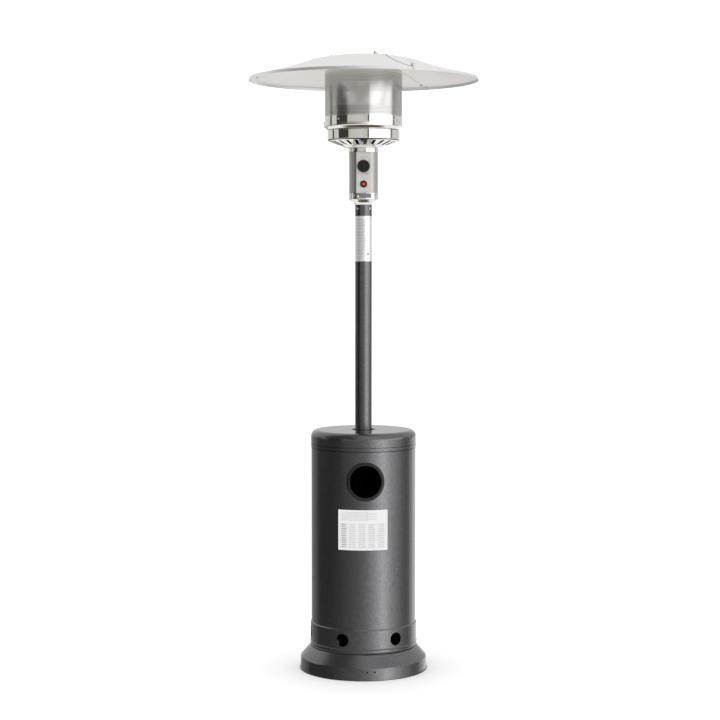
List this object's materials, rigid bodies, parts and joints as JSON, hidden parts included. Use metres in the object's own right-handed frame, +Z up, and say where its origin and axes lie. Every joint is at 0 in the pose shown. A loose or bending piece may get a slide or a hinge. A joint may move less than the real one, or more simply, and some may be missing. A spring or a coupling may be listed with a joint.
{
  "type": "gas patio heater",
  "caption": "Free-standing gas patio heater: domed reflector over a perforated burner screen, slim post, lift-up tank housing and weighted round base.",
  "frame": {"origin": "centre of the base on the floor", "axes": "+Z up, -Y towards the user at the control panel, +X to the user's right"},
  "size_m": [0.8136, 0.8128, 2.1873],
  "materials": {
    "dark_paint": "semi-gloss dark grey metallic powder coat",
    "black_enamel": "satin black enamel",
    "cast_iron": "rough black",
    "zinc_steel": "zinc plated",
    "polished_steel": "mirror polished stainless steel",
    "brushed_steel": "brushed stainless steel",
    "panel_steel": "satin silver",
    "screen_steel": "perforated stainless sheet",
    "reflector_aluminium": "satin",
    "pilot_aluminium": "drawn tube",
    "black_plastic": "fine moulded texture",
    "black_rubber": "matt",
    "red_plastic": "moulded",
    "brass": "machined",
    "copper": "drawn copper",
    "white_label": "printed paper",
    "silver_foil": "foil sticker",
    "slate_label": "plain sticker",
    "ceramic": "glazed",
    "silicone_lead": "silicone sleeve"
  },
  "bodies": {
    "frame": {"base_pan": "dark_paint", "base_weight": "cast_iron", "burner_bowl": "polished_steel", "burner_collar": "polished_steel", "burner_cup": "brushed_steel", "burner_plate": "brushed_steel", "caution_plate": "slate_label", "control_panel": "panel_steel", "control_shell": "brushed_steel", "cover_rivet": "zinc_steel", "electrode": "ceramic", "emitter_screen": "screen_steel", "gas_pipe": "zinc_steel", "head_screws": "zinc_steel", "igniter_bezel": "black_plastic", "igniter_body": "black_plastic", "igniter_lead": "silicone_lead", "injector": "brass", "inlet_fitting": "brass", "leg_bolts": "zinc_steel", "leg_nuts": "zinc_steel", "lower_cap": "polished_steel", "mixing_tube": "brushed_steel", "neck_cone": "polished_steel", "pilot_burner": "brass", "pilot_tube": "pilot_aluminium", "post": "dark_paint", "post_bushing": "black_plastic", "post_label": "silver_foil", "post_screws": "zinc_steel", "reflector_panel_1": "reflector_aluminium", "reflector_panel_2": "reflector_aluminium", "reflector_panel_3": "reflector_aluminium", "reflector_studs": "zinc_steel", "ring_screws": "zinc_steel", "screen_cap": "brushed_steel", "seam_bolts": "zinc_steel", "seam_rivets": "zinc_steel", "stud_spacers": "zinc_steel", "support_leg_1": "black_enamel", "support_leg_2": "black_enamel", "support_leg_3": "black_enamel", "thermocouple": "copper", "tilt_switch": "black_plastic", "upper_cap": "polished_steel", "valve_body": "brass", "valve_screws": "zinc_steel", "vent_ring": "dark_paint", "wing_nuts": "zinc_steel"},
    "tank_housing": {"tank_cylinder": "dark_paint", "tank_lid": "dark_paint", "window_trim": "black_rubber", "rating_label": "white_label"},
    "knob_carrier": {"stem_washer": "brass"},
    "knob": {"knob": "black_plastic", "knob_pointer": "red_plastic", "valve_stem": "brass"},
    "igniter_button": {"igniter_button": "red_plastic"},
    "lighting_cover": {"lighting_cover": "polished_steel"}
  },
  "joints": [
    {"name": "housing_lift", "type": "slide", "parent": "frame", "child": "tank_housing", "axis": [0, 0, 1], "range_m": [0, 0.72]},
    {"name": "knob_press", "type": "slide", "parent": "frame", "child": "knob_carrier", "axis": [0, 1, 0], "range_m": [0, 0.0035], "stiffness_N_per_m": 1500, "springref_m": -0.004},
    {"name": "knob_turn", "type": "hinge", "parent": "knob_carrier", "child": "knob", "pos_m": [0, -0.05, 1.79], "axis": [0, -1, 0], "range_deg": [0, 200]},
    {"name": "igniter_press", "type": "slide", "parent": "frame", "child": "igniter_button", "axis": [0, 1, 0], "range_m": [0, 0.006], "stiffness_N_per_m": 1200, "springref_m": -0.003},
    {"name": "cover_swing", "type": "hinge", "parent": "frame", "child": "lighting_cover", "pos_m": [-0.13824, 0.01453, 1.946], "axis": [-0.9945, 0.1045, 0], "range_deg": [0, 90]}
  ]
}
